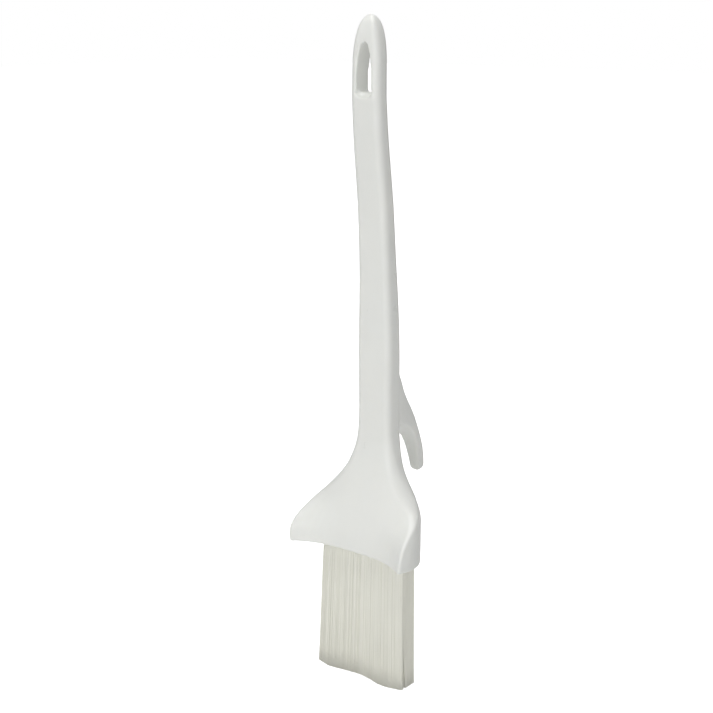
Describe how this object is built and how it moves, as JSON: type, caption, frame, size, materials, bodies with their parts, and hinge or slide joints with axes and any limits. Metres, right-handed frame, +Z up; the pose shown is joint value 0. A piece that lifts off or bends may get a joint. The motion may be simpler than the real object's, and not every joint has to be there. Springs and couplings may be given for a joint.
{
  "type": "pastry brush",
  "caption": "Flat pastry brush: one-piece moulded handle with a bowl hook, a drip hood and a hanging slot, set with anchored nylon tufts that bend.",
  "frame": {"origin": "middle of the whole brush's footprint, level with the longest bristle tips", "axes": "+Z up the handle from the bristle tips to the hanging slot, +Y towards the back, where the bowl hook is, +X to the right seen from the front"},
  "size_m": [0.0692, 0.0589, 0.3068],
  "materials": {
    "handle": "white polypropylene moulding with a soft satin gloss",
    "bristle": "off-white translucent nylon filament, trimmed in two shallow lobes",
    "anchor": "plain flat stainless wire"
  },
  "bodies": {
    "handle": {"handle": "handle", "anchor_front_01": "anchor", "anchor_front_02": "anchor", "anchor_front_03": "anchor", "anchor_front_04": "anchor", "anchor_front_05": "anchor", "anchor_front_06": "anchor", "anchor_front_07": "anchor", "anchor_front_08": "anchor", "anchor_front_09": "anchor", "anchor_front_10": "anchor", "anchor_front_11": "anchor", "anchor_front_12": "anchor", "anchor_back_01": "anchor", "anchor_back_02": "anchor", "anchor_back_03": "anchor", "anchor_back_04": "anchor", "anchor_back_05": "anchor", "anchor_back_06": "anchor", "anchor_back_07": "anchor", "anchor_back_08": "anchor", "anchor_back_09": "anchor", "anchor_back_10": "anchor", "anchor_back_11": "anchor", "anchor_back_12": "anchor"},
    "front_row": {"tuft_front_01": "bristle", "tuft_front_02": "bristle", "tuft_front_03": "bristle", "tuft_front_04": "bristle", "tuft_front_05": "bristle", "tuft_front_06": "bristle", "tuft_front_07": "bristle", "tuft_front_08": "bristle", "tuft_front_09": "bristle", "tuft_front_10": "bristle", "tuft_front_11": "bristle", "tuft_front_12": "bristle"},
    "back_row": {"tuft_back_01": "bristle", "tuft_back_02": "bristle", "tuft_back_03": "bristle", "tuft_back_04": "bristle", "tuft_back_05": "bristle", "tuft_back_06": "bristle", "tuft_back_07": "bristle", "tuft_back_08": "bristle", "tuft_back_09": "bristle", "tuft_back_10": "bristle", "tuft_back_11": "bristle", "tuft_back_12": "bristle"}
  },
  "joints": [
    {"name": "front_row_bend", "type": "hinge", "parent": "handle", "child": "front_row", "pos_m": [0, -0.01281, 0.05956], "axis": [1, 0, 0], "range_deg": [-35, 35], "stiffness_Nm_per_rad": 0.02, "deforming": ["tuft_front_01", "tuft_front_02", "tuft_front_03", "tuft_front_04", "tuft_front_05", "tuft_front_06", "tuft_front_07", "tuft_front_08", "tuft_front_09", "tuft_front_10", "tuft_front_11", "tuft_front_12"]},
    {"name": "back_row_bend", "type": "hinge", "parent": "handle", "child": "back_row", "pos_m": [0, -0.00811, 0.05956], "axis": [1, 0, 0], "range_deg": [-35, 35], "stiffness_Nm_per_rad": 0.02, "deforming": ["tuft_back_01", "tuft_back_02", "tuft_back_03", "tuft_back_04", "tuft_back_05", "tuft_back_06", "tuft_back_07", "tuft_back_08", "tuft_back_09", "tuft_back_10", "tuft_back_11", "tuft_back_12"]}
  ],
  "couplings": [
    {"joint": "back_row_bend", "follows": "front_row_bend", "ratio": 1}
  ]
}
